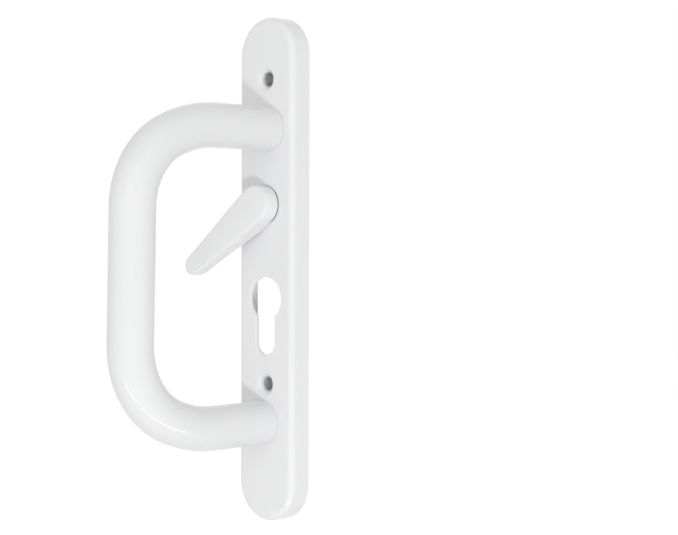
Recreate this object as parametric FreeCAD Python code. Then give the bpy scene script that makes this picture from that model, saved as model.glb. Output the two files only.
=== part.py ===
import FreeCAD, Part
import math
import os

# Inside half of a sliding patio door handle: a hollow cast backplate, a D-shaped pull grip that is
# screwed on from behind, and a tapered thumb lever that turns in a bush.
# Millimetres. +Z is up, +Y points into the door and the front faces -Y. The origin lies on the
# back plane, midway between the two fixing holes.

V = FreeCAD.Vector

# Fixing holes, countersunk, and the opening for the lock cylinder
FIXING_CENTRES = 128.0
FIXING_HOLE_D = 5.5
COUNTERSINK_D = 9.8
FIXING_BOSS_D = 11.0
CYLINDER_ROUND_Z = -28.0
CYLINDER_ROUND_D = 18.4
CYLINDER_SLOT_W = 11.0
CYLINDER_HEIGHT = 33.0
OPENING_CHAMFER = 0.4

# Backplate
PLATE_LENGTH = 212.0
PLATE_WIDTH = 32.2
PLATE_DEPTH = 10.0
PLATE_CENTRE_Z = -16.0
PLATE_DRAFT = 0.8
PLATE_EDGE_R = 2.5
SKIN = 1.7
WALL = 1.2
RIB_T = 1.5
RIB_SETBACK = 3.2

# Pull grip: a round bar bent to a D. A wide arc eases each arm into its tighter bend.
GRIP_D = 18.3
GRIP_UPPER_Z = 43.25
GRIP_CENTRES = 123.5
GRIP_PROJECTION = 71.8
GRIP_UPPER_BEND_R = 31.0
GRIP_LOWER_BEND_R = 34.5
GRIP_EASE_R = 58.0
GRIP_EASE_ANGLE = 24.0
GRIP_LEAN = 1.4
GRIP_SIDE_OFFSET = 0.3
GRIP_ROOT_CHAMFER = 0.25

# Screws and washers that hold the grip from inside the backplate
GRIP_SCREW_D = 5.0
GRIP_SCREW_LENGTH = 20.0
GRIP_SCREW_HEAD_D = 8.5
GRIP_SCREW_HEAD_H = 3.2
GRIP_SCREW_HEAD_CHAMFER = 1.0
GRIP_SCREW_SOCKET = 3.0
GRIP_SCREW_SOCKET_DEPTH = 1.8
GRIP_SCREW_SETBACK = 0.6
GRIP_WASHER_D = 10.0
GRIP_WASHER_T = 1.0
GRIP_BOSS_D = 15.0
GRIP_HOLE_SPARE = 3.0
CLEARANCE_HOLE = 0.25
THREAD_CLEARANCE = 0.05

# Thumb lever: the face and the back of its blade both rise towards the tip
LEVER_Z = 11.5
LEVER_REST = 40.3
LEVER_TRAVEL = 80.0
LEVER_HUB_D = 15.8
LEVER_TIP_D = 8.8
LEVER_REACH = 39.7
LEVER_PROUD = 7.9
LEVER_FACE_SLOPE = 9.0
LEVER_BACK_SLOPE = 12.0
LEVER_NOSE_R = 3.0
LEVER_EDGE_R = 0.8
LEVER_FACE_GAP = 0.35
LEVER_SHANK_D = 12.6
LEVER_FLAT_DEPTH = 1.0
LEVER_SHANK_SETBACK = 0.3
SPINDLE_SQUARE = 7.0
SPINDLE_DEPTH = 9.0
SPINDLE_RELIEF_D = 8.0
SPINDLE_RELIEF_DEPTH = 1.0

# Bush that the lever turns in, and its seat in the backplate
RECESS_GAP = 0.4
RECESS_DEPTH = 2.4
BUSH_WALL = 1.45
BUSH_FLANGE_T = 0.8
BUSH_FLANGE_CLEARANCE = 0.15
BUSH_CLEARANCE = 0.05
BUSH_SEAT_CLEARANCE = 0.02
LEVER_BOSS_WALL = 2.5

# Stop washer, spring washer and retaining ring on the end of the shank
STOP_WASHER_T = 1.0
STOP_TAB_LENGTH = 2.5
STOP_TAB_ANGLE = 18.0
STOP_BLOCK_ANGLE = 14.0
STOP_CLEARANCE = 0.1
STOP_KEY_CLEARANCE = 0.05
SPRING_T = 0.4
SPRING_HEIGHT = 0.7
SPRING_WIDTH = 2.5
SPRING_BORE_CLEARANCE = 0.15
RING_T = 0.8
RING_INSET = 0.6
RING_WIDTH = 2.25
RING_BORE_CLEARANCE = 0.05
RING_GROOVE_DEPTH = 0.5
RING_SIDE_CLEARANCE = 0.05
RING_GAP_ANGLE = 40.0
RING_LUG_R = 1.5
RING_LUG_HOLE_D = 1.2

# Diameters of the lever's seat, each from the shank or the hub outwards
RECESS_D = LEVER_HUB_D + 2 * RECESS_GAP
BUSH_BORE_D = LEVER_SHANK_D + 2 * BUSH_CLEARANCE
BUSH_D = BUSH_BORE_D + 2 * BUSH_WALL
BUSH_FLANGE_D = RECESS_D - 2 * BUSH_FLANGE_CLEARANCE
BUSH_SEAT_D = BUSH_D + 2 * BUSH_SEAT_CLEARANCE
LEVER_BOSS_D = BUSH_SEAT_D + 2 * LEVER_BOSS_WALL
STOP_TAB_REACH = LEVER_BOSS_D / 2 + STOP_TAB_LENGTH
SPRING_BORE_D = LEVER_SHANK_D + 2 * SPRING_BORE_CLEARANCE
SPRING_D = SPRING_BORE_D + 2 * SPRING_WIDTH
RING_GROOVE_D = LEVER_SHANK_D - 2 * RING_GROOVE_DEPTH
RING_BORE_D = RING_GROOVE_D + 2 * RING_BORE_CLEARANCE
RING_D = RING_BORE_D + 2 * RING_WIDTH

# Planes across the handle, from the front face to the back
Y_FRONT = -PLATE_DEPTH
Y_SKIN = Y_FRONT + SKIN
Y_RECESS = Y_FRONT + RECESS_DEPTH
Y_HUB_BASE = Y_RECESS - BUSH_FLANGE_T
Y_HUB_FACE = Y_FRONT - LEVER_PROUD
Y_SHANK_END = -LEVER_SHANK_SETBACK
Y_RING_BACK = Y_SHANK_END - RING_INSET
Y_RING_FRONT = Y_RING_BACK - RING_T
Y_SPRING_FRONT = Y_RING_FRONT - SPRING_HEIGHT
Y_LEVER_SEAT = Y_SPRING_FRONT - STOP_WASHER_T
Y_GRIP_HEAD = -GRIP_SCREW_SETBACK - GRIP_SCREW_HEAD_H
Y_GRIP_SEAT = Y_GRIP_HEAD - GRIP_WASHER_T
TOP, BOTTOM = 1, -1


def cylinder(x, z, diameter, y_from, y_to):
    """Round bar along Y between two planes."""
    return Part.makeCylinder(diameter / 2, y_to - y_from, V(x, y_from, z), V(0, 1, 0))


def grip_root(end):
    """Centre of an arm of the grip where it meets the plate; the D leans a little about Y."""
    half = GRIP_CENTRES / 2
    lean = math.radians(GRIP_LEAN)
    x = GRIP_SIDE_OFFSET + end * half * math.sin(lean)
    z = GRIP_UPPER_Z - half + end * half * math.cos(lean)
    return x, z


def lever_angle_point(radius, degrees):
    """Point at an angle about the lever axis, counted from +X towards +Z."""
    angle = math.radians(degrees)
    return radius * math.cos(angle), LEVER_Z + radius * math.sin(angle)


def ring_sector(r_in, r_out, y_from, y_to, start, sweep):
    """Part of a ring about the lever axis, from a start angle through a sweep."""
    corners = [V(r_in, y_from, LEVER_Z), V(r_out, y_from, LEVER_Z)]
    corners += [V(r_out, y_to, LEVER_Z), V(r_in, y_to, LEVER_Z)]
    face = Part.Face(Part.makePolygon(corners + corners[:1]))
    face.rotate(V(0, 0, LEVER_Z), V(0, -1, 0), start)
    return face.revolve(V(0, 0, LEVER_Z), V(0, -1, 0), sweep)


def edges_in_plane(shape, y):
    """Edges that lie wholly in one plane across Y."""
    tolerance = 1e-4
    return [e for e in shape.Edges if max(abs(e.BoundBox.YMin - y), abs(e.BoundBox.YMax - y)) < tolerance]


def plate_outline(inset, y):
    """Outline with full-radius ends, drawn in by an inset and by the draft of the sides."""
    r = PLATE_WIDTH / 2 - inset + y * math.tan(math.radians(PLATE_DRAFT))
    top = PLATE_CENTRE_Z + (PLATE_LENGTH - PLATE_WIDTH) / 2
    bottom = 2 * PLATE_CENTRE_Z - top
    upper_end = Part.Arc(V(-r, y, top), V(0, y, top + r), V(r, y, top))
    right = Part.LineSegment(V(r, y, top), V(r, y, bottom))
    lower_end = Part.Arc(V(r, y, bottom), V(0, y, bottom - r), V(-r, y, bottom))
    left = Part.LineSegment(V(-r, y, bottom), V(-r, y, top))
    return Part.Wire([curve.toShape() for curve in (upper_end, right, lower_end, left)])


def plate_block(inset, y_front):
    """Drafted block of the plate's outline."""
    return Part.makeLoft([plate_outline(inset, 0), plate_outline(inset, y_front)], True, True)


def cylinder_opening():
    """Euro profile hole: a round above a slot with a rounded end, right through the front."""
    round_r = CYLINDER_ROUND_D / 2
    slot_r = CYLINDER_SLOT_W / 2
    join_z = CYLINDER_ROUND_Z - math.sqrt(round_r ** 2 - slot_r ** 2)
    end_z = CYLINDER_ROUND_Z + round_r - CYLINDER_HEIGHT + slot_r
    y = Y_FRONT - 1
    head = Part.Arc(V(-slot_r, y, join_z), V(0, y, CYLINDER_ROUND_Z + round_r), V(slot_r, y, join_z))
    right = Part.LineSegment(V(slot_r, y, join_z), V(slot_r, y, end_z))
    end = Part.Arc(V(slot_r, y, end_z), V(0, y, end_z - slot_r), V(-slot_r, y, end_z))
    left = Part.LineSegment(V(-slot_r, y, end_z), V(-slot_r, y, join_z))
    wire = Part.Wire([curve.toShape() for curve in (head, right, end, left)])
    return Part.Face(wire).extrude(V(0, PLATE_DEPTH + 2, 0))


def rims_opening(edge):
    """Whether an edge of the front face is the rim of the cylinder opening."""
    middle = edge.CenterOfMass
    beside = abs(middle.x) < CYLINDER_ROUND_D / 2
    return beside and abs(middle.z - CYLINDER_ROUND_Z) < CYLINDER_HEIGHT


def fixing_hole(z):
    """Through hole with a countersink for the head of the fixing screw."""
    depth = (COUNTERSINK_D - FIXING_HOLE_D) / 2
    sink = Part.makeCone(COUNTERSINK_D / 2, FIXING_HOLE_D / 2, depth, V(0, Y_FRONT, z), V(0, 1, 0))
    return sink.fuse(cylinder(0, z, FIXING_HOLE_D, Y_FRONT, 1))


def cross_rib(z, width):
    """Low wall across the inside of the plate."""
    return Part.makeBox(width, -Y_SKIN - RIB_SETBACK, RIB_T, V(-width / 2, Y_SKIN, z - RIB_T / 2))


def spine_rib(z_from, z_to):
    """Low wall along the middle of the plate between two bosses."""
    low = min(z_from, z_to)
    return Part.makeBox(RIB_T, -Y_SKIN - RIB_SETBACK, abs(z_to - z_from), V(-RIB_T / 2, Y_SKIN, low))


def stop_blocks():
    """Two blocks beside the lever boss that the tab of the stop washer meets."""
    slack = math.degrees(STOP_CLEARANCE / STOP_TAB_REACH)
    at_rest, raised = stop_tab_angle(0), stop_tab_angle(LEVER_TRAVEL)
    spread = STOP_TAB_ANGLE / 2 + slack
    inner = LEVER_BOSS_D / 2 - STOP_WASHER_T
    blocks = []
    for start, sweep in ((at_rest + spread, STOP_BLOCK_ANGLE), (raised - spread, -STOP_BLOCK_ANGLE)):
        blocks.append(ring_sector(inner, STOP_TAB_REACH, Y_SKIN, Y_SPRING_FRONT, start, sweep))
    return blocks


def stop_tab_angle(turned):
    """Where the stop tab points, a quarter turn from the lever, after a turn from rest."""
    return 180 + LEVER_REST - turned + 90


def backplate():
    """Hollow plate with bosses, ribs, lever seat, stop blocks and openings."""
    block = plate_block(0, Y_FRONT)
    shell = block.makeFillet(PLATE_EDGE_R, edges_in_plane(block, Y_FRONT)).cut(plate_block(WALL, Y_SKIN))
    inner_width = PLATE_WIDTH - WALL
    solids = [cylinder(0, LEVER_Z, LEVER_BOSS_D, Y_SKIN, Y_LEVER_SEAT)] + stop_blocks()
    holes = [cylinder_opening(), cylinder(0, LEVER_Z, RECESS_D, Y_FRONT - 1, Y_RECESS)]
    holes.append(cylinder(0, LEVER_Z, BUSH_SEAT_D, Y_FRONT, 0))
    holes.append(cylinder(0, LEVER_Z, LEVER_BOSS_D, Y_LEVER_SEAT, 0))
    for end in (TOP, BOTTOM):
        x, z = grip_root(end)
        fixing_z = end * FIXING_CENTRES / 2
        solids += [cylinder(x, z, GRIP_BOSS_D, Y_SKIN, Y_GRIP_SEAT), cross_rib(z, inner_width)]
        solids += [cylinder(0, fixing_z, FIXING_BOSS_D, Y_SKIN, 0), cross_rib(fixing_z, inner_width)]
        solids.append(spine_rib(fixing_z, z))
        holes += [fixing_hole(fixing_z), cylinder(x, z, GRIP_BOSS_D, Y_GRIP_SEAT, 0)]
        holes.append(cylinder(x, z, GRIP_SCREW_D + 2 * CLEARANCE_HOLE, Y_FRONT - 1, 0))
    plate = shell.fuse(solids).removeSplitter().cut(holes)
    rims = [e for e in edges_in_plane(plate, Y_FRONT) if rims_opening(e)]
    return plate.makeChamfer(OPENING_CHAMFER, rims)


def bend_arc(centre, radius, end, start, finish):
    """Arc of a grip bend between two turns from the arm's direction, in degrees."""
    turns = [math.radians(turn) for turn in (start, (start + finish) / 2, finish)]
    return Part.Arc(*[centre + V(0, -math.sin(t), end * math.cos(t)) * radius for t in turns])


def grip_arm(end):
    """Centreline of one arm and its bend, from the plate to the bar."""
    bend_r = GRIP_UPPER_BEND_R if end == TOP else GRIP_LOWER_BEND_R
    root = V(0, Y_FRONT, GRIP_UPPER_Z if end == TOP else GRIP_UPPER_Z - GRIP_CENTRES)
    ease = math.radians(GRIP_EASE_ANGLE)
    wider = GRIP_EASE_R - bend_r
    y_arm = Y_FRONT - GRIP_PROJECTION + bend_r + wider * math.sin(ease)
    ease_centre = V(0, y_arm, root.z - end * GRIP_EASE_R)
    bend_centre = ease_centre + V(0, -math.sin(ease), end * math.cos(ease)) * wider
    arm = Part.LineSegment(root, V(0, y_arm, root.z))
    ease_arc = bend_arc(ease_centre, GRIP_EASE_R, end, 0, GRIP_EASE_ANGLE)
    return [arm, ease_arc, bend_arc(bend_centre, bend_r, end, GRIP_EASE_ANGLE, 90)]


def grip_path():
    """Centreline of the D: upper arm and bend, bar, lower bend and arm."""
    upper, lower = grip_arm(TOP), grip_arm(BOTTOM)
    bar = Part.LineSegment(upper[-1].EndPoint, lower[-1].EndPoint)
    return Part.Wire([curve.toShape() for curve in upper + [bar] + lower[::-1]])


def tapped_hole(x, z):
    """Blind hole for a grip screw with a drilled point."""
    diameter = GRIP_SCREW_D + 2 * THREAD_CLEARANCE
    y_end = Y_GRIP_HEAD - GRIP_SCREW_LENGTH - GRIP_HOLE_SPARE
    point = Part.makeCone(0, diameter / 2, diameter / 4, V(x, y_end - diameter / 4, z), V(0, 1, 0))
    return cylinder(x, z, diameter, y_end, Y_FRONT + 1).fuse(point)


def pull_grip():
    """Bar with broken edges and tapped holes at the roots, leant over in the plane of the door."""
    start = V(0, Y_FRONT, GRIP_UPPER_Z)
    section = Part.Wire(Part.makeCircle(GRIP_D / 2, start, V(0, -1, 0)))
    bar = grip_path().makePipeShell([section], True, False)
    bar = bar.makeChamfer(GRIP_ROOT_CHAMFER, edges_in_plane(bar, Y_FRONT))
    bar.rotate(V(0, 0, GRIP_UPPER_Z - GRIP_CENTRES / 2), V(0, 1, 0), GRIP_LEAN)
    bar.translate(V(GRIP_SIDE_OFFSET, 0, 0))
    return bar.cut([tapped_hole(*grip_root(TOP)), tapped_hole(*grip_root(BOTTOM))])


def grip_screw(end):
    """Screw with a chamfered head and a hexagon socket, from inside the plate into the grip."""
    x, z = grip_root(end)
    head = cylinder(x, z, GRIP_SCREW_HEAD_D, Y_GRIP_HEAD, -GRIP_SCREW_SETBACK)
    head = head.makeChamfer(GRIP_SCREW_HEAD_CHAMFER, edges_in_plane(head, -GRIP_SCREW_SETBACK))
    shank = cylinder(x, z, GRIP_SCREW_D, Y_GRIP_HEAD - GRIP_SCREW_LENGTH, Y_GRIP_HEAD)
    corner = GRIP_SCREW_SOCKET / math.sqrt(3)
    y = -GRIP_SCREW_SETBACK - GRIP_SCREW_SOCKET_DEPTH
    corners = [V(x + corner * math.cos(math.radians(60 * i)), y, z + corner * math.sin(math.radians(60 * i)))
               for i in range(7)]
    socket = Part.Face(Part.makePolygon(corners)).extrude(V(0, PLATE_DEPTH, 0))
    return head.fuse(shank).removeSplitter().cut(socket)


def grip_washer(end):
    """Flat washer between a grip boss and the screw head."""
    x, z = grip_root(end)
    disc = cylinder(x, z, GRIP_WASHER_D, Y_GRIP_SEAT, Y_GRIP_HEAD)
    return disc.cut(cylinder(x, z, GRIP_SCREW_D + 2 * CLEARANCE_HOLE, Y_GRIP_SEAT - 1, Y_GRIP_HEAD + 1))


def lever_side_profile():
    """Side view of the blade: sloping face, sloping back and a rounded nose under the tip."""
    start, end = -LEVER_HUB_D, LEVER_REACH + LEVER_TIP_D / 2
    face_rise = math.tan(math.radians(LEVER_FACE_SLOPE))
    slope = math.radians(LEVER_BACK_SLOPE)
    face_start = V(start, Y_HUB_FACE - start * face_rise, 0)
    face_end = V(end, Y_HUB_FACE - end * face_rise, 0)
    back_start = V(LEVER_HUB_D / 2, Y_FRONT - LEVER_FACE_GAP, 0)
    nose_x = end - LEVER_NOSE_R * (1 - math.sin(slope))
    back_end = V(nose_x, back_start.y - (nose_x - back_start.x) * math.tan(slope), 0)
    centre = back_end - V(math.sin(slope), math.cos(slope), 0) * LEVER_NOSE_R
    middle = (math.pi / 2 - slope) / 2
    nose_middle = centre + V(math.cos(middle), math.sin(middle), 0) * LEVER_NOSE_R
    nose_end = V(end, centre.y, 0)
    corners = [back_end, back_start, V(start, back_start.y, 0), face_start, face_end, nose_end]
    edges = [Part.Arc(nose_end, nose_middle, back_end).toShape()]
    edges += [Part.makeLine(a, b) for a, b in zip(corners, corners[1:])]
    profile = Part.Face(Part.Wire(edges))
    profile.translate(V(0, 0, -LEVER_HUB_D))
    return profile.extrude(V(0, 0, 2 * LEVER_HUB_D))


def lever_plan():
    """Front view of the blade: two circles joined by their outer tangents."""
    hub_r, tip_r = LEVER_HUB_D / 2, LEVER_TIP_D / 2
    slope = math.asin((hub_r - tip_r) / LEVER_REACH)
    sx, sz = math.sin(slope), math.cos(slope)
    y = Y_HUB_FACE - 2 * LEVER_HUB_D
    hub_top, hub_bottom = V(hub_r * sx, y, hub_r * sz), V(hub_r * sx, y, -hub_r * sz)
    tip_top = V(LEVER_REACH + tip_r * sx, y, tip_r * sz)
    tip_bottom = V(LEVER_REACH + tip_r * sx, y, -tip_r * sz)
    curves = [Part.Arc(hub_bottom, V(-hub_r, y, 0), hub_top), Part.LineSegment(hub_top, tip_top)]
    curves += [Part.Arc(tip_top, V(LEVER_REACH + tip_r, y, 0), tip_bottom)]
    curves.append(Part.LineSegment(tip_bottom, hub_bottom))
    return Part.Face(Part.Wire([c.toShape() for c in curves])).extrude(V(0, Y_FRONT - y, 0))


def lever_blade():
    """Blade with softened edges, turned to its rest position about the lever axis."""
    blade = lever_plan().common(lever_side_profile())
    front = min(blade.Faces, key=lambda f: f.CenterOfMass.y)
    blade = blade.makeFillet(LEVER_EDGE_R, front.Edges)
    blade.rotate(V(0, 0, 0), V(0, -1, 0), 180 + LEVER_REST)
    blade.translate(V(0, 0, LEVER_Z))
    return blade


def shank_flats(y_from, y_to, clearance):
    """Double-D section of the shank's end, or of the hole that fits over it."""
    bar = cylinder(0, LEVER_Z, LEVER_SHANK_D + 2 * clearance, y_from, y_to)
    width = LEVER_SHANK_D - 2 * LEVER_FLAT_DEPTH + 2 * clearance
    reach = LEVER_SHANK_D + 1
    return bar.common(Part.makeBox(width, y_to - y_from, reach, V(-width / 2, y_from, LEVER_Z - reach / 2)))


def lever():
    """Blade, hub and shank in one casting, with a square socket for the spindle."""
    hub = cylinder(0, LEVER_Z, LEVER_HUB_D, Y_FRONT - LEVER_FACE_GAP, Y_HUB_BASE)
    shank = cylinder(0, LEVER_Z, LEVER_SHANK_D, Y_HUB_BASE, Y_LEVER_SEAT)
    body = lever_blade().fuse([hub, shank, shank_flats(Y_LEVER_SEAT, Y_SHANK_END, 0)]).removeSplitter()
    groove = cylinder(0, LEVER_Z, LEVER_SHANK_D + 1, Y_RING_FRONT - RING_SIDE_CLEARANCE, Y_RING_BACK)
    groove = groove.cut(cylinder(0, LEVER_Z, RING_GROOVE_D, Y_RING_FRONT - 1, Y_SHANK_END))
    half = SPINDLE_SQUARE / 2
    y_bottom = Y_SHANK_END - SPINDLE_DEPTH
    socket = Part.makeBox(SPINDLE_SQUARE, SPINDLE_DEPTH + 1, SPINDLE_SQUARE,
                          V(-half, y_bottom, LEVER_Z - half))
    relief = cylinder(0, LEVER_Z, SPINDLE_RELIEF_D, y_bottom, y_bottom + SPINDLE_RELIEF_DEPTH)
    return body.cut([groove, socket, relief])


def lever_bush():
    """Flanged bearing bush: the flange lies in the recess under the lever's hub."""
    body = cylinder(0, LEVER_Z, BUSH_D, Y_RECESS, Y_LEVER_SEAT)
    body = body.fuse(cylinder(0, LEVER_Z, BUSH_FLANGE_D, Y_HUB_BASE, Y_RECESS)).removeSplitter()
    return body.cut(cylinder(0, LEVER_Z, BUSH_BORE_D, Y_HUB_BASE - 1, 0))


def stop_washer():
    """Disc keyed on the shank's flats, with a tab that limits the lever's travel."""
    disc = cylinder(0, LEVER_Z, LEVER_BOSS_D - 2 * STOP_CLEARANCE, Y_LEVER_SEAT, Y_SPRING_FRONT)
    start = stop_tab_angle(0) - STOP_TAB_ANGLE / 2
    inner = LEVER_SHANK_D / 2 + STOP_WASHER_T
    tab = ring_sector(inner, STOP_TAB_REACH, Y_LEVER_SEAT, Y_SPRING_FRONT, start, STOP_TAB_ANGLE)
    key = shank_flats(Y_LEVER_SEAT - 1, Y_SPRING_FRONT + 1, STOP_KEY_CLEARANCE)
    return disc.fuse(tab).removeSplitter().cut(key)


def spring_washer():
    """Conical washer that holds the lever against its bush."""
    r_in, r_out = SPRING_BORE_D / 2, SPRING_D / 2
    corners = [V(r_out, Y_SPRING_FRONT, LEVER_Z), V(r_out, Y_SPRING_FRONT + SPRING_T, LEVER_Z)]
    corners += [V(r_in, Y_RING_FRONT, LEVER_Z), V(r_in, Y_RING_FRONT - SPRING_T, LEVER_Z)]
    face = Part.Face(Part.makePolygon(corners + corners[:1]))
    return face.revolve(V(0, 0, LEVER_Z), V(0, 1, 0), 360)


def retaining_ring():
    """Open ring in the shank's groove, with a drilled lug at each end."""
    bore = cylinder(0, LEVER_Z, RING_BORE_D, Y_RING_FRONT - 1, Y_RING_BACK + 1)
    ring = cylinder(0, LEVER_Z, RING_D, Y_RING_FRONT, Y_RING_BACK)
    lug_angle = math.degrees(RING_LUG_R / (RING_D / 2))
    lug_radius = RING_D / 2 - RING_LUG_R / 2
    gap_start = 90 - RING_GAP_ANGLE / 2
    inner = RING_BORE_D / 4
    opening = ring_sector(inner, RING_D, Y_RING_FRONT - 1, Y_RING_BACK + 1, gap_start, RING_GAP_ANGLE)
    lugs, eyes = [], []
    for side in (1, -1):
        x, z = lever_angle_point(lug_radius, 90 + side * (RING_GAP_ANGLE / 2 + lug_angle))
        lugs.append(cylinder(x, z, 2 * RING_LUG_R, Y_RING_FRONT, Y_RING_BACK))
        eyes.append(cylinder(x, z, RING_LUG_HOLE_D, Y_RING_FRONT - 1, Y_RING_BACK + 1))
    return ring.cut(opening).fuse(lugs).removeSplitter().cut([bore] + eyes)


parts = {
    "backplate": backplate(),
    "pull_grip": pull_grip(),
    "upper_grip_screw": grip_screw(TOP),
    "lower_grip_screw": grip_screw(BOTTOM),
    "upper_grip_washer": grip_washer(TOP),
    "lower_grip_washer": grip_washer(BOTTOM),
    "lever": lever(),
    "lever_bush": lever_bush(),
    "stop_washer": stop_washer(),
    "spring_washer": spring_washer(),
    "retaining_ring": retaining_ring(),
}

os.makedirs("parts", exist_ok=True)
for name, shape in parts.items():
    shape.exportStep("parts/" + name + ".step")
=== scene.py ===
import math

import bmesh
import bpy
from mathutils import Matrix, Vector


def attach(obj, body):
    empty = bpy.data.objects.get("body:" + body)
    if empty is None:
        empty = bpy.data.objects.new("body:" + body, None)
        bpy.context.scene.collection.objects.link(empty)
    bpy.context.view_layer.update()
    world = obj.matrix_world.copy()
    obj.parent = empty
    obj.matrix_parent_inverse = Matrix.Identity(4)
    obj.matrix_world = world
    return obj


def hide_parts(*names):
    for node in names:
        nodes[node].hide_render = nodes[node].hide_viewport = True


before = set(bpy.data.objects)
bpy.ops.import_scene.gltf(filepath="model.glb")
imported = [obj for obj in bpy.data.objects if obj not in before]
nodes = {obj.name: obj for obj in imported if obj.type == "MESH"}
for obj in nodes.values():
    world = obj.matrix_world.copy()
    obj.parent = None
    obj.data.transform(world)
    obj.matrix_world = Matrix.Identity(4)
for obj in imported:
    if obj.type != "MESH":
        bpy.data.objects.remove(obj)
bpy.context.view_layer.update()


# The camera stands to the right of the door's normal, about level with the middle of the plate.
# Its place is solved from the cylinder opening, the holes, the grip's roots and the plate's ends.
# Only the viewing angle is turned; there is no shift.
VIEW_AZIMUTH = math.radians(43.46)
VIEW_ELEVATION = math.radians(1.51)
VIEW_ROLL = math.radians(0.196)
VIEW_DISTANCE = 0.65386
VIEW_ASIDE = Vector((0.02422, 0.00092))
PLATE_CENTRE_Z = -0.016
FOCAL_PIXELS = 1537.4
PHOTO_WIDTH = 678
SENSOR_WIDTH = 36
NEAREST_SEEN = 0.01

camera_back = Vector((math.sin(VIEW_AZIMUTH) * math.cos(VIEW_ELEVATION),
                      -math.cos(VIEW_AZIMUTH) * math.cos(VIEW_ELEVATION),
                      math.sin(VIEW_ELEVATION)))
level_right = Vector((math.cos(VIEW_AZIMUTH), math.sin(VIEW_AZIMUTH), 0))
level_up = camera_back.cross(level_right)
camera_right = level_right * math.cos(VIEW_ROLL) + level_up * math.sin(VIEW_ROLL)
camera_up = level_up * math.cos(VIEW_ROLL) - level_right * math.sin(VIEW_ROLL)
camera_place = (camera_back * VIEW_DISTANCE + camera_right * VIEW_ASIDE.x
                + camera_up * VIEW_ASIDE.y + Vector((0, 0, PLATE_CENTRE_Z)))
camera_turn = Matrix((camera_right, camera_up, camera_back)).transposed().to_4x4()
camera_data = bpy.data.cameras.new("Camera")
camera_data.sensor_width = SENSOR_WIDTH
camera_data.lens = FOCAL_PIXELS / PHOTO_WIDTH * SENSOR_WIDTH
camera_data.clip_start = NEAREST_SEEN
camera = bpy.data.objects.new("Camera", camera_data)
bpy.context.scene.collection.objects.link(camera)
camera.matrix_world = Matrix.Translation(camera_place) @ camera_turn
bpy.context.scene.camera = camera


# Backplate: a shallow hollow zinc die-casting with a white powder coat. The coat has a faint orange
# peel and thins to patches over the raw zinc inside, and the inside is darkened further all over as
# painted shade. The screw holes turn from coat to dark bare zinc deeper in, as painted shade in the
# holes.
class Wire:
    """A shader socket that does sums: an expression on wires adds its Math nodes."""

    def __init__(self, tree, socket):
        self.tree = tree
        self.socket = socket

    def math(self, operation, *values):
        node = self.tree.nodes.new("ShaderNodeMath")
        node.operation = operation
        for slot, value in zip(node.inputs, values):
            if isinstance(value, Wire):
                self.tree.links.new(value.socket, slot)
            else:
                slot.default_value = value
        return Wire(self.tree, node.outputs[0])

    def __add__(self, other):
        return self.math("ADD", self, other)

    def __radd__(self, other):
        return self.math("ADD", other, self)

    def __sub__(self, other):
        return self.math("SUBTRACT", self, other)

    def __rsub__(self, other):
        return self.math("SUBTRACT", other, self)

    def __mul__(self, other):
        return self.math("MULTIPLY", self, other)

    def __rmul__(self, other):
        return self.math("MULTIPLY", other, self)

    def __gt__(self, other):
        return self.math("GREATER_THAN", self, other)

    def __lt__(self, other):
        return self.math("LESS_THAN", self, other)

    def __abs__(self):
        return self.math("ABSOLUTE", self)

    def at_least(self, least):
        return self.math("MAXIMUM", self, least)

    def sine(self):
        return self.math("SINE", self)

    def root(self):
        return self.math("SQRT", self)


class ShaderTree:
    """The node tree of a material or a world, and one method that adds any node but Math."""

    def __init__(self, tree):
        self.tree = tree

    def node(self, kind, settings, inputs, output=0):
        """The settings are set first, then the values and links; gives one output or a few."""
        node = self.tree.nodes.new("ShaderNode" + kind)
        for key, value in settings.items():
            setattr(node, key, value)
        for key, value in inputs.items():
            if isinstance(value, Wire):
                self.tree.links.new(value.socket, node.inputs[key])
            else:
                node.inputs[key].default_value = value
        if isinstance(output, tuple):
            return [Wire(self.tree, node.outputs[name]) for name in output]
        return Wire(self.tree, node.outputs[output])


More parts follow.
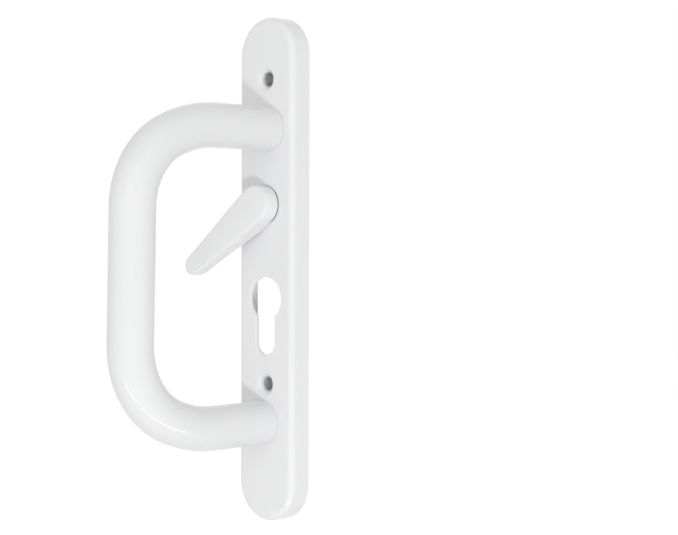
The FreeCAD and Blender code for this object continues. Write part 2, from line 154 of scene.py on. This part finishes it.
class Finish(ShaderTree):
    """A material with a Principled shader; its constants are set on the shader's own sockets."""

    SOCKETS = {"colour": "Base Color", "roughness": "Roughness", "metallic": "Metallic",
               "coat": "Coat Weight", "normal": "Normal"}
    MIX_FIRST_COLOUR = 6
    MIX_SECOND_COLOUR = 7
    MIX_COLOUR_OUT = 2

    def __init__(self, name, constants):
        self.material = bpy.data.materials.new(name)
        self.material.use_nodes = True
        super().__init__(self.material.node_tree)
        self.shader = self.tree.nodes["Principled BSDF"]
        for socket, value in constants.items():
            self.shader.inputs[socket].default_value = value

    def place(self):
        return self.node("TexCoord", {}, {}, output="Object")

    def axes(self, place):
        return self.node("SeparateXYZ", {}, {"Vector": place}, output=("X", "Y", "Z"))

    def noise(self, place, per_metre, detail=2.0):
        return self.node("TexNoise", {}, {"Vector": place, "Scale": per_metre, "Detail": detail})

    def blend(self, factor, first, second):
        """Mix of two colours, each a tuple or another mix."""
        first, second = (value if isinstance(value, Wire) else (*value, 1)
                         for value in (first, second))
        inputs = {"Factor": factor, self.MIX_FIRST_COLOUR: first, self.MIX_SECOND_COLOUR: second}
        return self.node("Mix", {"data_type": "RGBA"}, inputs, output=self.MIX_COLOUR_OUT)

    def ease(self, value, start, end):
        """0 before start, 1 after end, with a smooth turn between them."""
        return self.node("MapRange", {"interpolation_type": "SMOOTHSTEP"},
                         {"Value": value, "From Min": start, "From Max": end})

    def bump(self, height, depth):
        return self.node("Bump", {}, {"Height": height, "Strength": 1.0, "Distance": depth})

    def feed(self, **wires):
        for key, wire in wires.items():
            self.tree.links.new(wire.socket, self.shader.inputs[self.SOCKETS[key]])

    def tint(self, mask, colour):
        """Lays a colour over the fed one, where the mask is 1."""
        fed = self.shader.inputs["Base Color"].links[0].from_socket
        self.feed(colour=self.blend(mask, Wire(self.tree, fed), colour))

    def on(self, *names):
        for name in names:
            for slot in nodes[name].material_slots:
                slot.material = self.material


POWDER_LIGHT = (0.845, 0.848, 0.855)
POWDER_DARK = (0.815, 0.818, 0.826)
POWDER_GLOSS = 0.5
POWDER_ROUGH = 0.36
POWDER_ROUGH_SPREAD = 0.08
CLOUDS_PER_METRE = 34.0
DIMPLES_PER_METRE = 620.0
SPECKS_PER_METRE = 2600.0
SPECKS_IN_TONE = 0.2
SPECKS_IN_HEIGHT = 0.15
ORANGE_PEEL_DEPTH = 0.000012
RAW_ZINC_LIGHT = (0.46, 0.47, 0.48)
RAW_ZINC_DARK = (0.25, 0.255, 0.265)
RAW_ZINC_METALLIC = 0.85
RAW_ZINC_ROUGH = 0.38
RAW_ZINC_ROUGH_SPREAD = 0.25
CAST_GRAIN_PER_METRE = 1700.0


def powder_coat(name, bare=None, shade=1.0):
    """White coat with slow clouds of two near tones and the fine dimples of cured powder.

    bare is a function that takes the finish and its Object place, and returns how far the raw zinc
    shows through the coat, from 0 to 1; on the plate it also lays painted shade. shade is a factor
    on the two tones, which paints the grip's copy darker as painted shade.
    """
    coat = Finish(name, {"Specular IOR Level": 0.12, "Coat Weight": POWDER_GLOSS,
                         "Coat Roughness": 0.05, "Coat IOR": 1.48})
    place = coat.place()
    clouds = coat.noise(place, CLOUDS_PER_METRE, detail=3.0)
    specks = coat.noise(place, SPECKS_PER_METRE, detail=1.0)
    dimples = coat.noise(place, DIMPLES_PER_METRE)
    dark, light = ([value * shade for value in tone] for tone in (POWDER_DARK, POWDER_LIGHT))
    tone = coat.blend(clouds * (1 - SPECKS_IN_TONE) + specks * SPECKS_IN_TONE, dark, light)
    height = dimples * (1 - SPECKS_IN_HEIGHT) + specks * SPECKS_IN_HEIGHT
    roughness = clouds * POWDER_ROUGH_SPREAD + POWDER_ROUGH
    if bare is None:
        coat.feed(colour=tone, roughness=roughness, normal=coat.bump(height, ORANGE_PEEL_DEPTH))
        return coat
    shows = bare(coat, place)
    grain = coat.noise(place, CAST_GRAIN_PER_METRE, detail=4.0)
    zinc = coat.blend(grain, RAW_ZINC_DARK, RAW_ZINC_LIGHT)
    rough_zinc = grain * RAW_ZINC_ROUGH_SPREAD + RAW_ZINC_ROUGH
    coat.feed(colour=coat.blend(shows, tone, zinc), metallic=shows * RAW_ZINC_METALLIC,
              coat=POWDER_GLOSS - shows * POWDER_GLOSS,
              roughness=roughness + shows * (rough_zinc - roughness),
              normal=coat.bump(height * (1 - shows) + shows * grain, ORANGE_PEEL_DEPTH))
    return coat


PLATE_ROUND_END = 0.0899
PLATE_MID_WALL = 0.0153
INSIDE_FROM_Y = -0.00845
SCREW_HOLE_Z = 0.064
SCREW_BORE_RADIUS = 0.00285
BORE_BARE_AND_SHADE_FROM_Y = -0.0072
BORE_BARE_AND_SHADE_FULL_Y = -0.0044
THIN_COAT_PER_METRE = 95.0
THIN_COAT_EDGES = (0.42, 0.68)
BARE_AND_SHADE_ALL_OVER = 0.3
BARE_IN_PATCHES = 0.5


def bare_inside_and_painted_shade(coat, place):
    """Thin coat in patches inside the hollow with painted shade all over, and painted shade deep in
    the screw holes.
    """
    x, y, z = coat.axes(place)
    past_end = (abs(z - PLATE_CENTRE_Z) - PLATE_ROUND_END).at_least(0)
    inside = ((x * x + past_end * past_end).root() < PLATE_MID_WALL) * (y > INSIDE_FROM_Y)
    patches = coat.ease(coat.noise(place, THIN_COAT_PER_METRE, detail=3.0), *THIN_COAT_EDGES)
    from_hole = abs(z) - SCREW_HOLE_Z
    in_hole = (x * x + from_hole * from_hole).root() < SCREW_BORE_RADIUS
    bore = in_hole * coat.ease(y, BORE_BARE_AND_SHADE_FROM_Y, BORE_BARE_AND_SHADE_FULL_Y)
    # The share lays dark raw zinc inside: partly a real thin coat, partly painted shade in the
    # hollow and the holes.
    return inside * (BARE_AND_SHADE_ALL_OVER + BARE_IN_PATCHES * patches) * (1 - bore) + bore


plate_coat = powder_coat("plate_coat", bare_inside_and_painted_shade)
plate_coat.on("backplate")

# Ejector pins leave low round marks on the inside of the casting, at these x and z in mm.
PIN_MARKS = ((-8.6, 74), (8.6, 74), (0, 82.5), (-9.4, 28), (9.4, 28), (-9.6, -9.5), (9.6, -9.5),
             (-8.4, -57), (8.4, -57), (-9.2, -89), (9.2, -89), (-7.6, -103), (7.6, -103),
             (0, -113.5))
PIN_MARK_RADIUS = 0.0021
PIN_MARK_HEIGHT = 0.00016
PIN_MARK_Y = -0.0083
PIN_MARK_FACETS = 28
PIN_MARK_GRAIN_PER_METRE = 300.0
PIN_MARK_BARE = 0.35
PIN_MARK_BARE_SPREAD = 0.5
MM_PER_METRE = 1000
QUARTER_TURN = math.pi / 2
FACING_THE_DOOR = (-QUARTER_TURN, 0, 0)


def tree_with(name, *sizes):
    """Geometry tree with a mesh in and out, and named sizes; gives it, its input and its output."""
    tree = bpy.data.node_groups.new(name, "GeometryNodeTree")
    tree.interface.new_socket(name="Mesh", in_out="INPUT", socket_type="NodeSocketGeometry")
    for size, kind in sizes:
        tree.interface.new_socket(name=size, in_out="INPUT", socket_type="NodeSocket" + kind)
    tree.interface.new_socket(name="Mesh", in_out="OUTPUT", socket_type="NodeSocketGeometry")
    return tree, tree.nodes.new("NodeGroupInput").outputs, tree.nodes.new("NodeGroupOutput").inputs


def step(tree, kind, inputs, **settings):
    """One geometry node with its settings, then its values and links; gives its first output."""
    node = tree.nodes.new(kind)
    for key, value in settings.items():
        setattr(node, key, value)
    for key, value in inputs.items():
        if isinstance(value, bpy.types.NodeSocket):
            tree.links.new(value, node.inputs[key])
        else:
            node.inputs[key].default_value = value
    return node.outputs[0]


def close_tree(tree, instances, finish, out):
    """Last steps of a tree: one real mesh from the instances, with its finish."""
    real = step(tree, "GeometryNodeRealizeInstances", {"Geometry": instances})
    done = step(tree, "GeometryNodeSetMaterial", {"Geometry": real, "Material": finish})
    tree.links.new(done, out["Mesh"])


def grown(name, points, tree, body, **sizes):
    """Plain mesh of a tree run on a few points, at the origin, riding on a body."""
    seed = bpy.data.meshes.new(name + "_points")
    seed.from_pydata([Vector(point) for point in points], [], [])
    holder = bpy.data.objects.new(name + "_points", seed)
    bpy.context.scene.collection.objects.link(holder)
    modifier = holder.modifiers.new("grow", "NODES")
    modifier.node_group = tree
    for item in tree.interface.items_tree:
        if item.in_out == "INPUT" and item.name in sizes:
            modifier[item.identifier] = sizes[item.name]
    evaluated = holder.evaluated_get(bpy.context.evaluated_depsgraph_get())
    mesh = bpy.data.meshes.new_from_object(evaluated)
    mesh.name = name
    bpy.data.objects.remove(holder)
    piece = bpy.data.objects.new(name, mesh)
    bpy.context.scene.collection.objects.link(piece)
    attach(piece, body)
    return piece


def bare_mark(coat, place):
    """The pins rub the coat thin all over their marks."""
    return PIN_MARK_BARE + PIN_MARK_BARE_SPREAD * coat.noise(place, PIN_MARK_GRAIN_PER_METRE)


mark_tree, given, out = tree_with("pin_marks", ("Radius", "Float"), ("Height", "Float"),
                                  ("Finish", "Material"))
narrower = step(mark_tree, "ShaderNodeMath", {0: given["Radius"], 1: given["Height"]},
                operation="SUBTRACT")
disc = step(mark_tree, "GeometryNodeMeshCone", {
    "Vertices": PIN_MARK_FACETS, "Radius Top": narrower, "Radius Bottom": given["Radius"],
    "Depth": given["Height"]})
marks = step(mark_tree, "GeometryNodeInstanceOnPoints", {
    "Points": given["Mesh"], "Instance": disc, "Rotation": FACING_THE_DOOR})
close_tree(mark_tree, marks, given["Finish"], out)
mark_coat = powder_coat("pin_mark_coat", bare_mark)
mark_places = [(x / MM_PER_METRE, PIN_MARK_Y, z / MM_PER_METRE) for x, z in PIN_MARKS]
grown("ejector_marks", mark_places, mark_tree, "plate", Radius=PIN_MARK_RADIUS,
      Height=PIN_MARK_HEIGHT, Finish=mark_coat.material)


# Hub lip: the plate's coat runs down into the recess round the lever's hub as a thin white wall. It
# leaves only a hair's gap there. Its profile is a ring of (radius, y) in mm.
HUB_AXIS_Z = 0.0115
LIP_PROFILE = ((8.34, -8.5), (7.96, -8.5), (7.96, -9.92), (8.03, -9.99), (8.34, -10.0))
LIP_FACETS = 96
FULL_TURN = 2 * math.pi
lip_points = [(radius * math.cos(FULL_TURN * i / LIP_FACETS) / MM_PER_METRE, y / MM_PER_METRE,
               radius * math.sin(FULL_TURN * i / LIP_FACETS) / MM_PER_METRE + HUB_AXIS_Z)
              for i in range(LIP_FACETS) for radius, y in LIP_PROFILE]
corners = len(LIP_PROFILE)
lip_faces = []
for i in range(LIP_FACETS):
    here, there = i * corners, (i + 1) % LIP_FACETS * corners
    for k in range(corners):
        beside = (k + 1) % corners
        lip_faces.append((here + k, here + beside, there + beside, there + k))
lip_mesh = bpy.data.meshes.new("hub_lip")
lip_mesh.from_pydata(lip_points, [], lip_faces)
lip_shape = bmesh.new()
lip_shape.from_mesh(lip_mesh)
bmesh.ops.recalc_face_normals(lip_shape, faces=lip_shape.faces)
lip_shape.to_mesh(lip_mesh)
lip_shape.free()
hub_lip = bpy.data.objects.new("hub_lip", lip_mesh)
bpy.context.scene.collection.objects.link(hub_lip)
hub_lip.data.materials.append(plate_coat.material)
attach(hub_lip, "plate")


# Pull grip: a round aluminium bar bent to a D, tapped at both ends and screwed on from inside the
# plate. It has the plate's white coat all round, painted a little darker as painted shade, since
# the bar faces the lamps more than the plate does.
GRIP_PAINTED_SHADE = 0.96
# Painted shade: the grip's coat tones are scaled down against the light the bar catches.
powder_coat("grip_coat", shade=GRIP_PAINTED_SHADE).on("pull_grip")


# Thumb lever: a small tapered casting with a round hub, coated like the plate. Its shank and the
# square socket for the spindle are turned and broached after coating, so they are bare zinc. A band
# on the hub's foot is painted near black as painted shade, for the shadow in the gap above the
# plate.
SHANK_START_Y = -0.0083
HUB_FOOT_Y = -0.0103
HUB_FOOT_PAINTED_SHADE = (0.016, 0.016, 0.018)


def bare_shank(coat, place):
    return coat.axes(place)[1] > SHANK_START_Y


lever_coat = powder_coat("lever_coat", bare_shank)
foot_y = lever_coat.axes(lever_coat.place())[1]
# Painted shade: the hub's foot is tinted near black, standing in for the shadow in the gap just
# above the plate.
lever_coat.tint((foot_y > HUB_FOOT_Y) * (foot_y < SHANK_START_Y), HUB_FOOT_PAINTED_SHADE)
lever_coat.on("lever")

# The blade is made again over its solid, with an underside that rounds off towards the tip. The
# turned hub and shank behind it are the solid's own. Along the blade, 0 is the hub's axis.
LEVER_DIP = math.radians(40.3)
LEVER_REACH = 0.0397
HUB_RADIUS = 0.0079
TIP_RADIUS = 0.0044
HUB_FACE_Y = -0.0179
HUB_BACK_Y = -0.01035
FACE_RISE = math.tan(math.radians(9))
BACK_RISE = math.tan(math.radians(12))
FACE_EDGE_RADIUS = 0.0011
UNDER_INSET = 0.0010
UNDER_HEIGHT = 0.0046
UNDER_START = 0.008
UNDER_FULL = 0.034
UNDER_LEAST = 0.03
HUB_STEPS, SIDE_STEPS, TIP_STEPS, UNDER_STEPS, EDGE_STEPS = 24, 24, 18, 10, 5
SAME_POINT = 1e-6
CUT_INTO_BLADE = 1e-5
CUT_TOLERANCE = 1e-7
CREASE_ANGLE = math.radians(32)


def blade_half():
    """One side of the blade from the front, from behind the hub to the tip: places and normals."""
    tangent = QUARTER_TURN - math.asin((HUB_RADIUS - TIP_RADIUS) / LEVER_REACH)
    half = []
    for i in range(HUB_STEPS):
        angle = math.pi + (tangent - math.pi) * i / HUB_STEPS
        normal = Vector((math.cos(angle), math.sin(angle)))
        half.append((normal * HUB_RADIUS, normal))
    normal = Vector((math.cos(tangent), math.sin(tangent)))
    for i in range(SIDE_STEPS):
        along = i / SIDE_STEPS
        radius = HUB_RADIUS + (TIP_RADIUS - HUB_RADIUS) * along
        half.append((normal * radius + Vector((LEVER_REACH * along, 0)), normal))
    for i in range(TIP_STEPS + 1):
        angle = tangent * (1 - i / TIP_STEPS)
        normal = Vector((math.cos(angle), math.sin(angle)))
        half.append((normal * TIP_RADIUS + Vector((LEVER_REACH, 0)), normal))
    return half


def blade_ring(half, inset, height, from_back):
    """One closed line round the blade, inset from its outline and set off from its back or face.

    The back's rounding grows from the hub to the tip, so there its inset and height are scaled.
    """
    ring = []
    last = len(half) - 1
    for j in range(2 * last):
        place, normal = half[j] if j <= last else half[2 * last - j]
        side = 1 if j <= last else -1
        to_tip = min(max((place.x - UNDER_START) / (UNDER_FULL - UNDER_START), 0), 1)
        eased = to_tip * to_tip * (3 - 2 * to_tip)
        share = UNDER_LEAST + (1 - UNDER_LEAST) * eased if from_back else 1
        along, across = place - normal * (inset * share)
        back = HUB_BACK_Y - max(along - HUB_RADIUS, 0) * BACK_RISE
        face = HUB_FACE_Y - along * FACE_RISE
        across *= side
        ring.append((-along * math.cos(LEVER_DIP) + across * math.sin(LEVER_DIP),
                     back - height * share if from_back else face + height * share,
                     HUB_AXIS_Z - along * math.sin(LEVER_DIP) - across * math.cos(LEVER_DIP)))
    return ring


outline_half = blade_half()
rings = []
for i in range(UNDER_STEPS + 1):
    angle = QUARTER_TURN * i / UNDER_STEPS
    rings.append(blade_ring(outline_half, UNDER_INSET * (1 - math.sin(angle)),
                            UNDER_HEIGHT * (1 - math.cos(angle)), from_back=True))
for i in range(EDGE_STEPS + 1):
    angle = QUARTER_TURN * i / EDGE_STEPS
    rings.append(blade_ring(outline_half, FACE_EDGE_RADIUS * (1 - math.cos(angle)),
                            FACE_EDGE_RADIUS * (1 - math.sin(angle)), from_back=False))
around = len(rings[0])
blade_faces = []
for here in range(0, (len(rings) - 1) * around, around):
    for j in range(around):
        beside = (j + 1) % around
        blade_faces.append((here + j, here + beside, here + around + beside, here + around + j))
for first in (0, (len(rings) - 1) * around):
    for j in range(around // 2):
        ends = (j, j + 1, (around - j - 1) % around, (around - j) % around)
        blade_faces.append([first + corner for corner in dict.fromkeys(ends)])
lever_shape = bmesh.new()
lever_shape.from_mesh(nodes["lever"].data)
bmesh.ops.remove_doubles(lever_shape, verts=lever_shape.verts, dist=SAME_POINT)
whole = lever_shape.verts[:] + lever_shape.edges[:] + lever_shape.faces[:]
cut = bmesh.ops.bisect_plane(lever_shape, geom=whole, dist=CUT_TOLERANCE,
                             plane_co=(0, HUB_BACK_Y + CUT_INTO_BLADE, 0), plane_no=(0, -1, 0),
                             clear_outer=True)["geom_cut"]
cut_edges = [part for part in cut if isinstance(part, bmesh.types.BMEdge)]
bmesh.ops.triangle_fill(lever_shape, edges=cut_edges, use_beauty=True)
blade_points = [lever_shape.verts.new(point) for ring in rings for point in ring]
for face in blade_faces:
    lever_shape.faces.new([blade_points[corner] for corner in face])
bmesh.ops.recalc_face_normals(lever_shape, faces=lever_shape.faces)
thumb_mesh = bpy.data.meshes.new("thumb_lever")
lever_shape.to_mesh(thumb_mesh)
lever_shape.free()
# The solid's stored normals don't fit the new blade.
thumb_mesh.attributes.remove(thumb_mesh.attributes["custom_normal"])
thumb_mesh.shade_smooth()
thumb_mesh.set_sharp_from_angle(angle=CREASE_ANGLE)
thumb_mesh.materials.append(lever_coat.material)
thumb_lever = bpy.data.objects.new("thumb_lever", thumb_mesh)
bpy.context.scene.collection.objects.link(thumb_lever)
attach(thumb_lever, "lever")
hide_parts("lever")


# Bush: black moulded nylon with a thin flange, pressed in the plate from the front. The lever's
# shank turns in it, and it shows as a dark ring round the hub.
NYLON_DARK = (0.014, 0.014, 0.016)
NYLON_LIGHT = (0.032, 0.032, 0.034)
NYLON_GRAIN_PER_METRE = 1500.0
NYLON_GRAIN_DEPTH = 0.00001
NYLON_ROUGH = 0.45
NYLON_ROUGH_SPREAD = 0.2
nylon = Finish("black_nylon", {"Specular IOR Level": 0.4})
nylon_grain = nylon.noise(nylon.place(), NYLON_GRAIN_PER_METRE)
nylon.feed(colour=nylon.blend(nylon_grain, NYLON_DARK, NYLON_LIGHT),
           roughness=nylon_grain * NYLON_ROUGH_SPREAD + NYLON_ROUGH,
           normal=nylon.bump(nylon_grain, NYLON_GRAIN_DEPTH))
nylon.on("lever_bush")


# Grip screws and washers: zinc-plated steel. The low heads were turned, so they show fine rings
# round their own axes, and their sides are knurled for the fingers.
ZINC_BRIGHT = (0.70, 0.71, 0.72)
ZINC_DULL = (0.50, 0.515, 0.54)
ZINC_PATCHES_PER_METRE = 420.0
ZINC_ROUGH = 0.2
ZINC_ROUGH_IN_PATCHES = 0.18
ZINC_ROUGH_IN_RINGS = 0.08
TURNING_PITCH = 0.00022
TURNING_DEPTH = 0.000003
GRIP_ROOTS = {"upper": (0.00181, 0.04323), "lower": (-0.00121, -0.08023)}


def zinc_plate(name, centre_x, centre_z):
    """Zinc plating with cloudy patches and turning rings about one axis."""
    zinc = Finish(name, {"Metallic": 1.0})
    place = zinc.place()
    x, _, z = zinc.axes(place)
    across, along = x - centre_x, z - centre_z
    from_axis = (across * across + along * along).root()
    rings = (from_axis * (FULL_TURN / TURNING_PITCH)).sine() * 0.5 + 0.5
    patches = zinc.noise(place, ZINC_PATCHES_PER_METRE, detail=3.0)
    zinc.feed(colour=zinc.blend(patches, ZINC_DULL, ZINC_BRIGHT),
              roughness=patches * ZINC_ROUGH_IN_PATCHES + rings * ZINC_ROUGH_IN_RINGS + ZINC_ROUGH,
              normal=zinc.bump(rings, TURNING_DEPTH))
    return zinc


for end, (root_x, root_z) in GRIP_ROOTS.items():
    zinc_plate(end + "_zinc", root_x, root_z).on(end + "_grip_screw", end + "_grip_washer")

# The knurling is a row of square ribs, partly sunk in the side of each head.
KNURL_RIBS = 32
KNURL_RADIUS = 0.00417
KNURL_RIB = 0.0002
KNURL_RIB_SIDES = 4
KNURL_LENGTH = 0.0019
KNURL_Y = -0.0027
knurl_tree, given, out = tree_with("knurled_side", ("Ribs", "Int"), ("Head radius", "Float"),
                                   ("Rib radius", "Float"), ("Length", "Float"),
                                   ("Finish", "Material"))
circle = step(knurl_tree, "GeometryNodeMeshCircle", {
    "Vertices": given["Ribs"], "Radius": given["Head radius"]})
rib = step(knurl_tree, "GeometryNodeMeshCylinder", {
    "Vertices": KNURL_RIB_SIDES, "Radius": given["Rib radius"], "Depth": given["Length"]})
index = step(knurl_tree, "GeometryNodeInputIndex", {})
full_turns = step(knurl_tree, "ShaderNodeMath", {0: index, 1: FULL_TURN}, operation="MULTIPLY")
turn = step(knurl_tree, "ShaderNodeMath", {0: full_turns, 1: given["Ribs"]}, operation="DIVIDE")
turned = step(knurl_tree, "ShaderNodeCombineXYZ", {"Z": turn})
ribs = step(knurl_tree, "GeometryNodeInstanceOnPoints", {
    "Points": circle, "Instance": rib, "Rotation": turned})
heads = step(knurl_tree, "GeometryNodeInstanceOnPoints", {
    "Points": given["Mesh"], "Instance": ribs, "Rotation": FACING_THE_DOOR})
close_tree(knurl_tree, heads, given["Finish"], out)
knurl_zinc = zinc_plate("knurl_zinc", *GRIP_ROOTS["upper"])
grown("screw_knurling", [(x, KNURL_Y, z) for x, z in GRIP_ROOTS.values()], knurl_tree, "plate", **{
    "Ribs": KNURL_RIBS, "Head radius": KNURL_RADIUS, "Rib radius": KNURL_RIB,
    "Length": KNURL_LENGTH, "Finish": knurl_zinc.material})


# Stop washer: stamped zinc-plated steel, keyed on the flats of the lever's shank so that it turns
# with the lever. Its tab meets the two stops in the plate.
zinc_plate("washer_zinc", 0.0, HUB_AXIS_Z).on("stop_washer")


# Spring washer and retaining ring: hardened spring steel with a dark phosphate finish. The ring
# snaps into the shank's groove, and the washer pushes against it to take up the play.
PHOSPHATE_DARK = (0.04, 0.04, 0.044)
PHOSPHATE_LIGHT = (0.12, 0.12, 0.125)
PHOSPHATE_ROUGH = 0.4
PHOSPHATE_ROUGH_SPREAD = 0.25
CRYSTALS_PER_METRE = 2600.0
CRYSTAL_DEPTH = 0.000004
STAINS_PER_METRE = 260.0
STAINS_IN_TONE = 0.4
phosphate = Finish("dark_spring_steel", {"Metallic": 0.7})
phosphate_place = phosphate.place()
crystals = phosphate.noise(phosphate_place, CRYSTALS_PER_METRE)
stains = phosphate.noise(phosphate_place, STAINS_PER_METRE, detail=3.0)
phosphate_tone = crystals * (1 - STAINS_IN_TONE) + stains * STAINS_IN_TONE
phosphate.feed(colour=phosphate.blend(phosphate_tone, PHOSPHATE_DARK, PHOSPHATE_LIGHT),
               roughness=crystals * PHOSPHATE_ROUGH_SPREAD + PHOSPHATE_ROUGH,
               normal=phosphate.bump(crystals, CRYSTAL_DEPTH))
phosphate.on("spring_washer", "retaining_ring")


# Surroundings: a white studio. Camera, glossy and transmission rays see plain white, and the floor,
# some way below the handle, keeps the shadow that falls on it.
FLOOR_Z = -0.55
FLOOR_HALF = 4.0
FLOOR_WHITE = (0.8, 0.8, 0.8)
FLOOR_SHADE = (0.79, 0.79, 0.79)
FLOOR_CLOUDS_PER_METRE = 3.0
FLOOR_GLOW = 0.43
AMBIENT = 0.745
bpy.ops.mesh.primitive_plane_add(size=2 * FLOOR_HALF, location=(0, 0, FLOOR_Z))
floor = bpy.context.object
floor.name = "floor"


def seen_rays(shader):
    """1 for the camera's rays and those that metal and glass send on, 0 for diffuse light."""
    camera_ray, glossy, transmitted = shader.node("LightPath", {}, {}, output=(
        "Is Camera Ray", "Is Glossy Ray", "Is Transmission Ray"))
    return camera_ray + glossy + transmitted


floor_paint = Finish("floor_white", {"Roughness": 0.9, "Specular IOR Level": 0.0})
floor_clouds = floor_paint.noise(floor_paint.place(), FLOOR_CLOUDS_PER_METRE)
floor_paint.feed(colour=floor_paint.blend(floor_clouds, FLOOR_SHADE, FLOOR_WHITE))
glow = floor_paint.node("Emission", {}, {"Strength": seen_rays(floor_paint) * FLOOR_GLOW})
paint = Wire(floor_paint.tree, floor_paint.shader.outputs["BSDF"])
both = floor_paint.node("AddShader", {}, {0: paint, 1: glow})
floor_output = floor_paint.tree.nodes["Material Output"]
floor_paint.tree.links.new(both.socket, floor_output.inputs["Surface"])
floor.data.materials.append(floor_paint.material)

studio = bpy.data.worlds.new("studio")
bpy.context.scene.world = studio
studio.use_nodes = True
sky = studio.node_tree.nodes["Background"]
sky.inputs["Color"].default_value = (1, 1, 1, 1)
sky_strength = seen_rays(ShaderTree(studio.node_tree)) * (1 - AMBIENT) + AMBIENT
studio.node_tree.links.new(sky_strength.socket, sky.inputs["Strength"])


# Lamps: a small key lamp low on the right throws the shadows up and to the left, and two wide ones
# fill softly. A long strip under the handle gives the thin bright line on the lower bend.
def lamp(name, place, aim, watts, size, length=None, along=(0, 0, 1)):
    """Area lamp that faces an aim; a strip has a length along a given direction."""
    data = bpy.data.lights.new(name, "AREA")
    data.shape = "RECTANGLE" if length else "DISK"
    data.size = size
    data.energy = watts
    back = Vector(place) - Vector(aim)
    if length:
        data.size_y = length
        back -= back.project(Vector(along))
    back.normalize()
    across = Vector(along).cross(back).normalized()
    light = bpy.data.objects.new(name, data)
    facing = Matrix((across, back.cross(across), back)).transposed().to_4x4()
    light.matrix_world = Matrix.Translation(place) @ facing
    light.visible_camera = False
    bpy.context.scene.collection.objects.link(light)
    return light


PLATE_MIDDLE = (0, -0.03, PLATE_CENTRE_Z)
LOWER_BEND = (0.006, -0.075, -0.072)
key = lamp("key", place=(0.616, -0.565, -0.346), aim=PLATE_MIDDLE, watts=2.4, size=0.11)
key.visible_glossy = False
lamp("fill", place=(0.658, -1.169, 0.463), aim=PLATE_MIDDLE, watts=1.2, size=0.9)
lamp("side", place=(0.989, -0.352, 0.921), aim=PLATE_MIDDLE, watts=0.6, size=0.9)
bend_strip = lamp("bend_strip", place=(0.166, -0.215, -0.4217), aim=LOWER_BEND, watts=0.85,
                  size=0.014, length=0.95, along=(0.413, 0.906, 0.024))
bend_strip.visible_diffuse = False

bpy.context.scene.view_settings.view_transform = "Standard"
